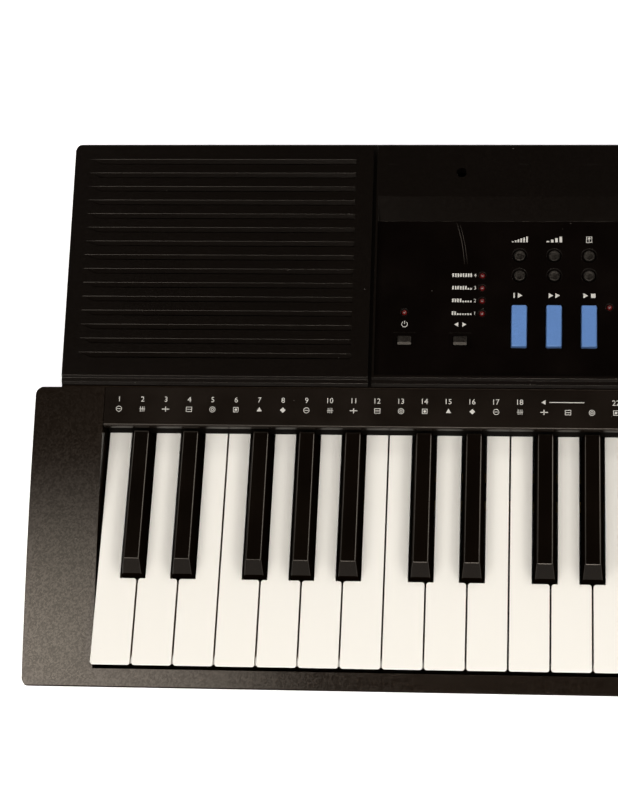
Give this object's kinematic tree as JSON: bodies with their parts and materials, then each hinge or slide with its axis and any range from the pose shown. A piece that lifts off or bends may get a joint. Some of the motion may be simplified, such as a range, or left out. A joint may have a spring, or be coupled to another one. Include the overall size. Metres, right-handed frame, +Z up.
{
  "type": "arranger keyboard",
  "caption": "Black arranger keyboard with hinged ivory and black keys, louvred speaker covers and a sunk control panel with sprung buttons, standing on rubber feet.",
  "frame": {"origin": "middle of the case's box on the table, under the feet", "axes": "+X to the player's right along the keys, +Y to the back, +Z up"},
  "size_m": [0.7656, 0.319, 0.1007],
  "materials": {
    "case_plastic": "fine moulded grain, black-brown",
    "cover_plastic": "satin black, fine grain",
    "panel_gloss": "glossy black",
    "strip_gloss": "glossy black",
    "chassis_plastic": "moulded grey",
    "steel": "plain steel",
    "circuit_board": "phenolic board",
    "soft_rubber": "moulded rubber",
    "speaker_metal": "painted basket and paper cone",
    "jack_plastic": "moulded black",
    "lamp_red": "clear red lens",
    "key_white": "polished ivory plastic",
    "key_black": "polished black plastic",
    "button_blue": "satin light blue",
    "button_dark": "satin dark grey"
  },
  "bodies": {
    "case": {"battery_box": "case_plastic", "case_screws": "steel", "contact_board": "circuit_board", "contact_rubber": "soft_rubber", "control_plate": "panel_gloss", "key_chassis": "chassis_plastic", "key_strip": "strip_gloss", "left_speaker_cover": "cover_plastic", "lower_case": "case_plastic", "main_board": "circuit_board", "panel_board": "circuit_board", "panel_housing": "cover_plastic", "pivot_rod": "steel", "rear_jacks": "jack_plastic", "right_speaker_cover": "cover_plastic", "rubber_feet": "soft_rubber", "speaker_drivers": "speaker_metal", "status_lamps": "lamp_red", "upper_case": "case_plastic"},
    "black_key_a_sharp2": {"black_key_a_sharp2": "key_black"},
    "black_key_a_sharp3": {"black_key_a_sharp3": "key_black"},
    "black_key_c_sharp2": {"black_key_c_sharp2": "key_black"},
    "black_key_c_sharp3": {"black_key_c_sharp3": "key_black"},
    "black_key_d_sharp2": {"black_key_d_sharp2": "key_black"},
    "black_key_d_sharp3": {"black_key_d_sharp3": "key_black"},
    "black_key_f_sharp2": {"black_key_f_sharp2": "key_black"},
    "black_key_f_sharp3": {"black_key_f_sharp3": "key_black"},
    "black_key_g_sharp2": {"black_key_g_sharp2": "key_black"},
    "black_key_g_sharp3": {"black_key_g_sharp3": "key_black"},
    "white_key_a2": {"white_key_a2": "key_white"},
    "white_key_a3": {"white_key_a3": "key_white"},
    "white_key_b2": {"white_key_b2": "key_white"},
    "white_key_b3": {"white_key_b3": "key_white"},
    "white_key_c2": {"white_key_c2": "key_white"},
    "white_key_c3": {"white_key_c3": "key_white"},
    "white_key_d2": {"white_key_d2": "key_white"},
    "white_key_d3": {"white_key_d3": "key_white"},
    "white_key_e2": {"white_key_e2": "key_white"},
    "white_key_e3": {"white_key_e3": "key_white"},
    "white_key_f2": {"white_key_f2": "key_white"},
    "white_key_f3": {"white_key_f3": "key_white"},
    "white_key_g2": {"white_key_g2": "key_white"},
    "white_key_g3": {"white_key_g3": "key_white"},
    "black_keys_octave_4": {"black_keys_octave_4": "key_black"},
    "black_keys_octave_5": {"black_keys_octave_5": "key_black"},
    "white_keys_octave_4": {"white_keys_octave_4": "key_white"},
    "white_keys_octave_5": {"white_keys_octave_5": "key_white"},
    "accompaniment_volume_down_button": {"accompaniment_volume_down_button": "button_dark"},
    "accompaniment_volume_up_button": {"accompaniment_volume_up_button": "button_dark"},
    "intro_button": {"intro_button": "button_blue"},
    "main_volume_down_button": {"main_volume_down_button": "button_dark"},
    "main_volume_up_button": {"main_volume_up_button": "button_dark"},
    "mode_button": {"mode_button": "button_dark"},
    "power_button": {"power_button": "button_dark"},
    "right_buttons": {"right_buttons": "button_dark"},
    "start_button": {"start_button": "button_blue"},
    "synchro_button": {"synchro_button": "button_blue"},
    "tempo_down_button": {"tempo_down_button": "button_dark"},
    "tempo_up_button": {"tempo_up_button": "button_dark"},
    "battery_door": {"battery_door": "case_plastic"}
  },
  "joints": [
    {"name": "black_key_a_sharp2_press", "type": "hinge", "parent": "case", "child": "black_key_a_sharp2", "pos_m": [0, 0.03555, 0.044], "axis": [1, 0, 0], "range_deg": [0, 3.5], "stiffness_Nm_per_rad": 0.6, "springref_deg": -6.88},
    {"name": "black_key_a_sharp3_press", "type": "hinge", "parent": "case", "child": "black_key_a_sharp3", "pos_m": [0, 0.03555, 0.044], "axis": [1, 0, 0], "range_deg": [0, 3.5], "stiffness_Nm_per_rad": 0.6, "springref_deg": -6.88},
    {"name": "black_key_c_sharp2_press", "type": "hinge", "parent": "case", "child": "black_key_c_sharp2", "pos_m": [0, 0.03555, 0.044], "axis": [1, 0, 0], "range_deg": [0, 3.5], "stiffness_Nm_per_rad": 0.6, "springref_deg": -6.88},
    {"name": "black_key_c_sharp3_press", "type": "hinge", "parent": "case", "child": "black_key_c_sharp3", "pos_m": [0, 0.03555, 0.044], "axis": [1, 0, 0], "range_deg": [0, 3.5], "stiffness_Nm_per_rad": 0.6, "springref_deg": -6.88},
    {"name": "black_key_d_sharp2_press", "type": "hinge", "parent": "case", "child": "black_key_d_sharp2", "pos_m": [0, 0.03555, 0.044], "axis": [1, 0, 0], "range_deg": [0, 3.5], "stiffness_Nm_per_rad": 0.6, "springref_deg": -6.88},
    {"name": "black_key_d_sharp3_press", "type": "hinge", "parent": "case", "child": "black_key_d_sharp3", "pos_m": [0, 0.03555, 0.044], "axis": [1, 0, 0], "range_deg": [0, 3.5], "stiffness_Nm_per_rad": 0.6, "springref_deg": -6.88},
    {"name": "black_key_f_sharp2_press", "type": "hinge", "parent": "case", "child": "black_key_f_sharp2", "pos_m": [0, 0.03555, 0.044], "axis": [1, 0, 0], "range_deg": [0, 3.5], "stiffness_Nm_per_rad": 0.6, "springref_deg": -6.88},
    {"name": "black_key_f_sharp3_press", "type": "hinge", "parent": "case", "child": "black_key_f_sharp3", "pos_m": [0, 0.03555, 0.044], "axis": [1, 0, 0], "range_deg": [0, 3.5], "stiffness_Nm_per_rad": 0.6, "springref_deg": -6.88},
    {"name": "black_key_g_sharp2_press", "type": "hinge", "parent": "case", "child": "black_key_g_sharp2", "pos_m": [0, 0.03555, 0.044], "axis": [1, 0, 0], "range_deg": [0, 3.5], "stiffness_Nm_per_rad": 0.6, "springref_deg": -6.88},
    {"name": "black_key_g_sharp3_press", "type": "hinge", "parent": "case", "child": "black_key_g_sharp3", "pos_m": [0, 0.03555, 0.044], "axis": [1, 0, 0], "range_deg": [0, 3.5], "stiffness_Nm_per_rad": 0.6, "springref_deg": -6.88},
    {"name": "white_key_a2_press", "type": "hinge", "parent": "case", "child": "white_key_a2", "pos_m": [0, 0.03555, 0.044], "axis": [1, 0, 0], "range_deg": [0, 2.71], "stiffness_Nm_per_rad": 0.6, "springref_deg": -6.88},
    {"name": "white_key_a3_press", "type": "hinge", "parent": "case", "child": "white_key_a3", "pos_m": [0, 0.03555, 0.044], "axis": [1, 0, 0], "range_deg": [0, 2.71], "stiffness_Nm_per_rad": 0.6, "springref_deg": -6.88},
    {"name": "white_key_b2_press", "type": "hinge", "parent": "case", "child": "white_key_b2", "pos_m": [0, 0.03555, 0.044], "axis": [1, 0, 0], "range_deg": [0, 2.71], "stiffness_Nm_per_rad": 0.6, "springref_deg": -6.88},
    {"name": "white_key_b3_press", "type": "hinge", "parent": "case", "child": "white_key_b3", "pos_m": [0, 0.03555, 0.044], "axis": [1, 0, 0], "range_deg": [0, 2.71], "stiffness_Nm_per_rad": 0.6, "springref_deg": -6.88},
    {"name": "white_key_c2_press", "type": "hinge", "parent": "case", "child": "white_key_c2", "pos_m": [0, 0.03555, 0.044], "axis": [1, 0, 0], "range_deg": [0, 2.71], "stiffness_Nm_per_rad": 0.6, "springref_deg": -6.88},
    {"name": "white_key_c3_press", "type": "hinge", "parent": "case", "child": "white_key_c3", "pos_m": [0, 0.03555, 0.044], "axis": [1, 0, 0], "range_deg": [0, 2.71], "stiffness_Nm_per_rad": 0.6, "springref_deg": -6.88},
    {"name": "white_key_d2_press", "type": "hinge", "parent": "case", "child": "white_key_d2", "pos_m": [0, 0.03555, 0.044], "axis": [1, 0, 0], "range_deg": [0, 2.71], "stiffness_Nm_per_rad": 0.6, "springref_deg": -6.88},
    {"name": "white_key_d3_press", "type": "hinge", "parent": "case", "child": "white_key_d3", "pos_m": [0, 0.03555, 0.044], "axis": [1, 0, 0], "range_deg": [0, 2.71], "stiffness_Nm_per_rad": 0.6, "springref_deg": -6.88},
    {"name": "white_key_e2_press", "type": "hinge", "parent": "case", "child": "white_key_e2", "pos_m": [0, 0.03555, 0.044], "axis": [1, 0, 0], "range_deg": [0, 2.71], "stiffness_Nm_per_rad": 0.6, "springref_deg": -6.88},
    {"name": "white_key_e3_press", "type": "hinge", "parent": "case", "child": "white_key_e3", "pos_m": [0, 0.03555, 0.044], "axis": [1, 0, 0], "range_deg": [0, 2.71], "stiffness_Nm_per_rad": 0.6, "springref_deg": -6.88},
    {"name": "white_key_f2_press", "type": "hinge", "parent": "case", "child": "white_key_f2", "pos_m": [0, 0.03555, 0.044], "axis": [1, 0, 0], "range_deg": [0, 2.71], "stiffness_Nm_per_rad": 0.6, "springref_deg": -6.88},
    {"name": "white_key_f3_press", "type": "hinge", "parent": "case", "child": "white_key_f3", "pos_m": [0, 0.03555, 0.044], "axis": [1, 0, 0], "range_deg": [0, 2.71], "stiffness_Nm_per_rad": 0.6, "springref_deg": -6.88},
    {"name": "white_key_g2_press", "type": "hinge", "parent": "case", "child": "white_key_g2", "pos_m": [0, 0.03555, 0.044], "axis": [1, 0, 0], "range_deg": [0, 2.71], "stiffness_Nm_per_rad": 0.6, "springref_deg": -6.88},
    {"name": "white_key_g3_press", "type": "hinge", "parent": "case", "child": "white_key_g3", "pos_m": [0, 0.03555, 0.044], "axis": [1, 0, 0], "range_deg": [0, 2.71], "stiffness_Nm_per_rad": 0.6, "springref_deg": -6.88},
    {"name": "black_keys_octave_4_press", "type": "hinge", "parent": "case", "child": "black_keys_octave_4", "pos_m": [0, 0.03555, 0.044], "axis": [1, 0, 0], "range_deg": [0, 3.5], "stiffness_Nm_per_rad": 3, "springref_deg": -6.88},
    {"name": "black_keys_octave_5_press", "type": "hinge", "parent": "case", "child": "black_keys_octave_5", "pos_m": [0, 0.03555, 0.044], "axis": [1, 0, 0], "range_deg": [0, 3.5], "stiffness_Nm_per_rad": 3, "springref_deg": -6.88},
    {"name": "white_keys_octave_4_press", "type": "hinge", "parent": "case", "child": "white_keys_octave_4", "pos_m": [0, 0.03555, 0.044], "axis": [1, 0, 0], "range_deg": [0, 2.71], "stiffness_Nm_per_rad": 4.2, "springref_deg": -6.88},
    {"name": "white_keys_octave_5_press", "type": "hinge", "parent": "case", "child": "white_keys_octave_5", "pos_m": [0, 0.03555, 0.044], "axis": [1, 0, 0], "range_deg": [0, 2.71], "stiffness_Nm_per_rad": 4.8, "springref_deg": -6.88},
    {"name": "accompaniment_volume_down_button_press", "type": "slide", "parent": "case", "child": "accompaniment_volume_down_button", "axis": [0, 0.1647, -0.9863], "range_m": [0, 0.001], "stiffness_N_per_m": 600, "springref_m": -0.0015},
    {"name": "accompaniment_volume_up_button_press", "type": "slide", "parent": "case", "child": "accompaniment_volume_up_button", "axis": [0, 0.1647, -0.9863], "range_m": [0, 0.001], "stiffness_N_per_m": 600, "springref_m": -0.0015},
    {"name": "intro_button_press", "type": "slide", "parent": "case", "child": "intro_button", "axis": [0, 0.1647, -0.9863], "range_m": [0, 0.0015], "stiffness_N_per_m": 600, "springref_m": -0.0015},
    {"name": "main_volume_down_button_press", "type": "slide", "parent": "case", "child": "main_volume_down_button", "axis": [0, 0.1647, -0.9863], "range_m": [0, 0.001], "stiffness_N_per_m": 600, "springref_m": -0.0015},
    {"name": "main_volume_up_button_press", "type": "slide", "parent": "case", "child": "main_volume_up_button", "axis": [0, 0.1647, -0.9863], "range_m": [0, 0.001], "stiffness_N_per_m": 600, "springref_m": -0.0015},
    {"name": "mode_button_press", "type": "slide", "parent": "case", "child": "mode_button", "axis": [0, 0.1647, -0.9863], "range_m": [0, 0.0016], "stiffness_N_per_m": 600, "springref_m": -0.0015},
    {"name": "power_button_press", "type": "slide", "parent": "case", "child": "power_button", "axis": [0, 0.1647, -0.9863], "range_m": [0, 0.0016], "stiffness_N_per_m": 600, "springref_m": -0.0015},
    {"name": "right_buttons_press", "type": "slide", "parent": "case", "child": "right_buttons", "axis": [0, 0.1647, -0.9863], "range_m": [0, 0.001], "stiffness_N_per_m": 7200, "springref_m": -0.0015},
    {"name": "start_button_press", "type": "slide", "parent": "case", "child": "start_button", "axis": [0, 0.1647, -0.9863], "range_m": [0, 0.0015], "stiffness_N_per_m": 600, "springref_m": -0.0015},
    {"name": "synchro_button_press", "type": "slide", "parent": "case", "child": "synchro_button", "axis": [0, 0.1647, -0.9863], "range_m": [0, 0.0015], "stiffness_N_per_m": 600, "springref_m": -0.0015},
    {"name": "tempo_down_button_press", "type": "slide", "parent": "case", "child": "tempo_down_button", "axis": [0, 0.1647, -0.9863], "range_m": [0, 0.001], "stiffness_N_per_m": 600, "springref_m": -0.0015},
    {"name": "tempo_up_button_press", "type": "slide", "parent": "case", "child": "tempo_up_button", "axis": [0, 0.1647, -0.9863], "range_m": [0, 0.001], "stiffness_N_per_m": 600, "springref_m": -0.0015},
    {"name": "battery_door_slide", "type": "slide", "parent": "case", "child": "battery_door", "axis": [0, 1, 0], "range_m": [0, 0.085]}
  ]
}
